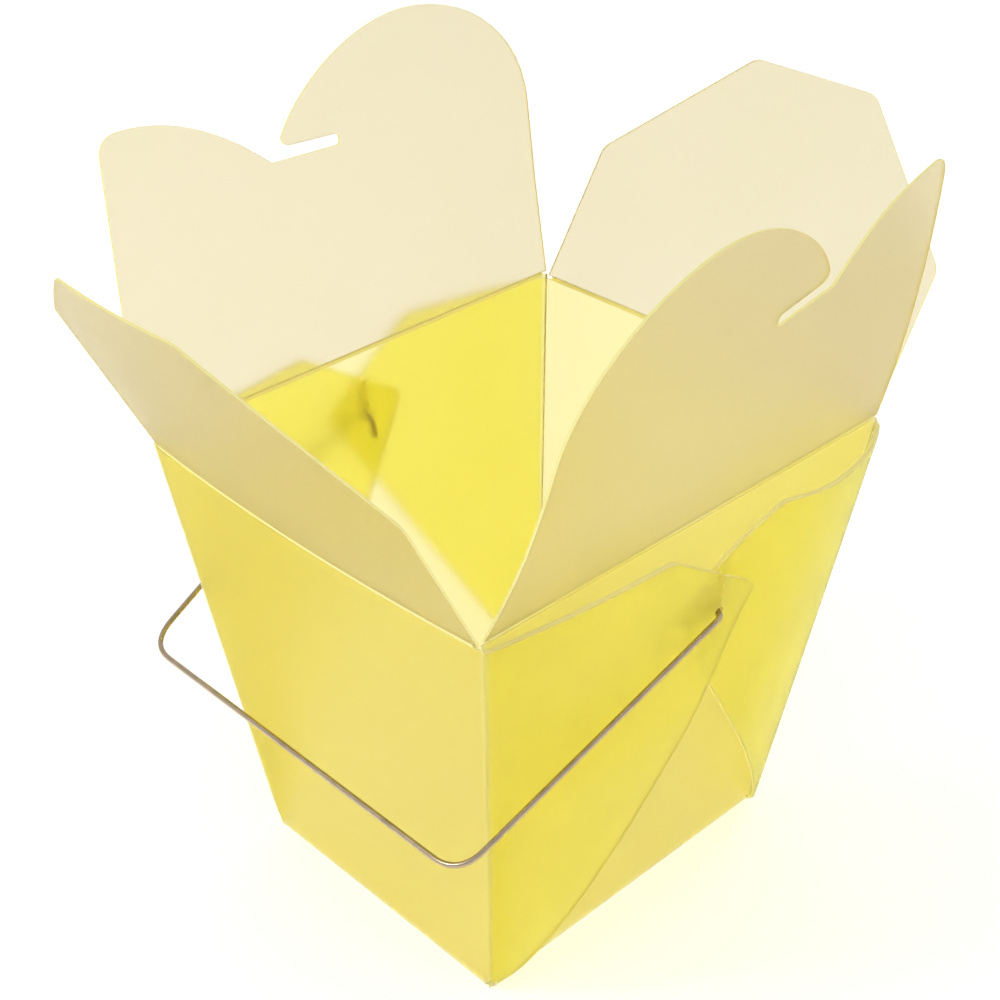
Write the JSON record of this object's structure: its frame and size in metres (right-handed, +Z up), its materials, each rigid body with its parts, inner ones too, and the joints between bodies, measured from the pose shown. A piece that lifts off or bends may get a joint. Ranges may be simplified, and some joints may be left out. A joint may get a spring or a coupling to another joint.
{
  "type": "noodle takeaway box",
  "caption": "Open tapered noodle box folded from frosted yellow plastic sheet, with corner folds, hinged flaps that hook together over the top and a steel wire carrying handle.",
  "frame": {"origin": "centre of the underside of the base", "axes": "+Z up, -Y to the front where the handle hangs, +X and -X through the walls that carry the handle"},
  "size_m": [0.1227, 0.1753, 0.1689],
  "materials": {
    "yellow_sheet": "frosted translucent polypropylene sheet, fine grain",
    "pale_sheet": "the same sheet in a single layer, paler",
    "steel_wire": "drawn steel wire, dull"
  },
  "bodies": {
    "pail": {"pail": "yellow_sheet"},
    "front_flap": {"front_flap": "pale_sheet"},
    "right_flap": {"right_flap": "pale_sheet"},
    "back_flap": {"back_flap": "pale_sheet"},
    "left_flap": {"left_flap": "pale_sheet"},
    "handle": {"handle": "steel_wire"}
  },
  "joints": [
    {"name": "front_flap_hinge", "type": "hinge", "parent": "pail", "child": "front_flap", "pos_m": [0, -0.05435, 0.1004], "axis": [-1, 0, 0], "range_deg": [-8, 120.5]},
    {"name": "back_flap_hinge", "type": "hinge", "parent": "pail", "child": "back_flap", "pos_m": [0, 0.05435, 0.1004], "axis": [1, 0, 0], "range_deg": [-20, 120.5]},
    {"name": "right_flap_hinge", "type": "hinge", "parent": "pail", "child": "right_flap", "pos_m": [0.04625, 0, 0.1016], "axis": [0, -1, 0], "range_deg": [-30, 98]},
    {"name": "left_flap_hinge", "type": "hinge", "parent": "pail", "child": "left_flap", "pos_m": [-0.04625, 0, 0.1016], "axis": [0, 1, 0], "range_deg": [-45, 73]},
    {"name": "handle_swing", "type": "hinge", "parent": "pail", "child": "handle", "pos_m": [0, 0, 0.084], "axis": [-1, 0, 0], "range_deg": [0, 31]}
  ]
}
